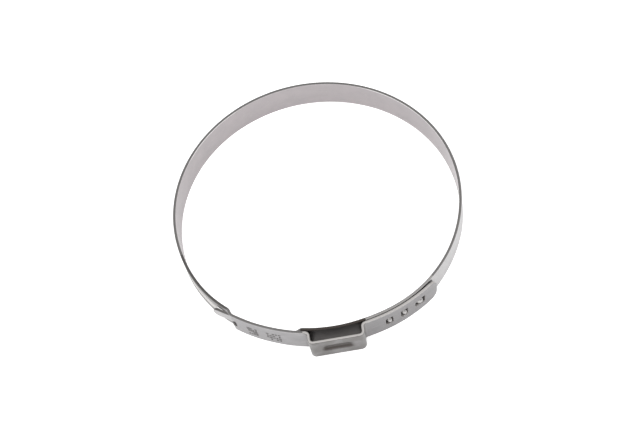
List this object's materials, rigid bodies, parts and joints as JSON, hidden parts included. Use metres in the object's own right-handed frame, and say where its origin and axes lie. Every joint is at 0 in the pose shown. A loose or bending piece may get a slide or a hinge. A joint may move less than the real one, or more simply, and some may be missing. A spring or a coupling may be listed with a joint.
{
  "type": "single-ear hose clamp",
  "caption": "Open stainless ring clamp for a hose end: one stamped strip with a pinch ear, windows locked on hooks, a step with a slot and a sliding tongue.",
  "frame": {"origin": "centre of the ring's bore, at the middle of the band's width", "axes": "+Z along the hose, across the band's width; the ear points along -Y, the hooks and windows are on the +X side of the ear"},
  "size_m": [0.0616, 0.0643, 0.007],
  "materials": {
    "strip_steel": "satin rolled stainless strip, light grain along its length"
  },
  "bodies": {
    "back": {"band_back": "strip_steel"},
    "right_arm": {"band_right": "strip_steel", "hook_band": "strip_steel", "first_hook": "strip_steel", "second_hook": "strip_steel", "guide_hook": "strip_steel", "bridge_band": "strip_steel", "tongue_neck": "strip_steel", "tongue": "strip_steel", "strap_root": "strip_steel"},
    "strap": {"window_strap": "strip_steel"},
    "left_arm": {"band_left": "strip_steel", "lower_rail": "strip_steel", "upper_rail": "strip_steel", "step_bend": "strip_steel", "shoulder": "strip_steel"},
    "ear_left": {"ear_left_leg": "strip_steel"},
    "crown": {"ear_crown": "strip_steel"},
    "ear_right": {"ear_right_leg": "strip_steel"},
    "crown_end": {"ear_crown_end": "strip_steel"}
  },
  "joints": [
    {"name": "clamp_close", "type": "hinge", "parent": "back", "child": "left_arm", "pos_m": [-0.03025, 0, 0], "axis": [0, 0, 1], "range_deg": [0, 3.28]},
    {"name": "right_arm_flex", "type": "hinge", "parent": "back", "child": "right_arm", "pos_m": [0.03025, 0, 0], "axis": [0, 0, -1], "range_deg": [0, 3.4]},
    {"name": "left_foot_bend", "type": "hinge", "parent": "left_arm", "child": "ear_left", "pos_m": [-0.0055, -0.03076, 0], "axis": [0, 0, -1], "range_deg": [0, 48.4]},
    {"name": "left_crown_bend", "type": "hinge", "parent": "ear_left", "child": "crown", "pos_m": [-0.0055, -0.0332, 0], "axis": [0, 0, 1], "range_deg": [0, 45.2]},
    {"name": "right_foot_bend", "type": "hinge", "parent": "right_arm", "child": "ear_right", "pos_m": [0.0055, -0.03076, 0], "axis": [0, 0, 1], "range_deg": [0, 48.4]},
    {"name": "right_crown_bend", "type": "hinge", "parent": "ear_right", "child": "crown_end", "pos_m": [0.0055, -0.0332, 0], "axis": [0, 0, -1], "range_deg": [0, 45.2]},
    {"name": "strap_lift", "type": "hinge", "parent": "right_arm", "child": "strap", "pos_m": [0.00737, -0.03068, 0], "axis": [0, 0, -1], "range_deg": [0, 25], "stiffness_Nm_per_rad": 0.02}
  ],
  "couplings": [
    {"joint": "right_arm_flex", "follows": "clamp_close", "ratio": 1},
    {"joint": "left_foot_bend", "follows": "clamp_close", "ratio": 14.685},
    {"joint": "left_crown_bend", "follows": "clamp_close", "ratio": 13.685},
    {"joint": "right_foot_bend", "follows": "clamp_close", "ratio": 14.685},
    {"joint": "right_crown_bend", "follows": "clamp_close", "ratio": 13.685}
  ]
}
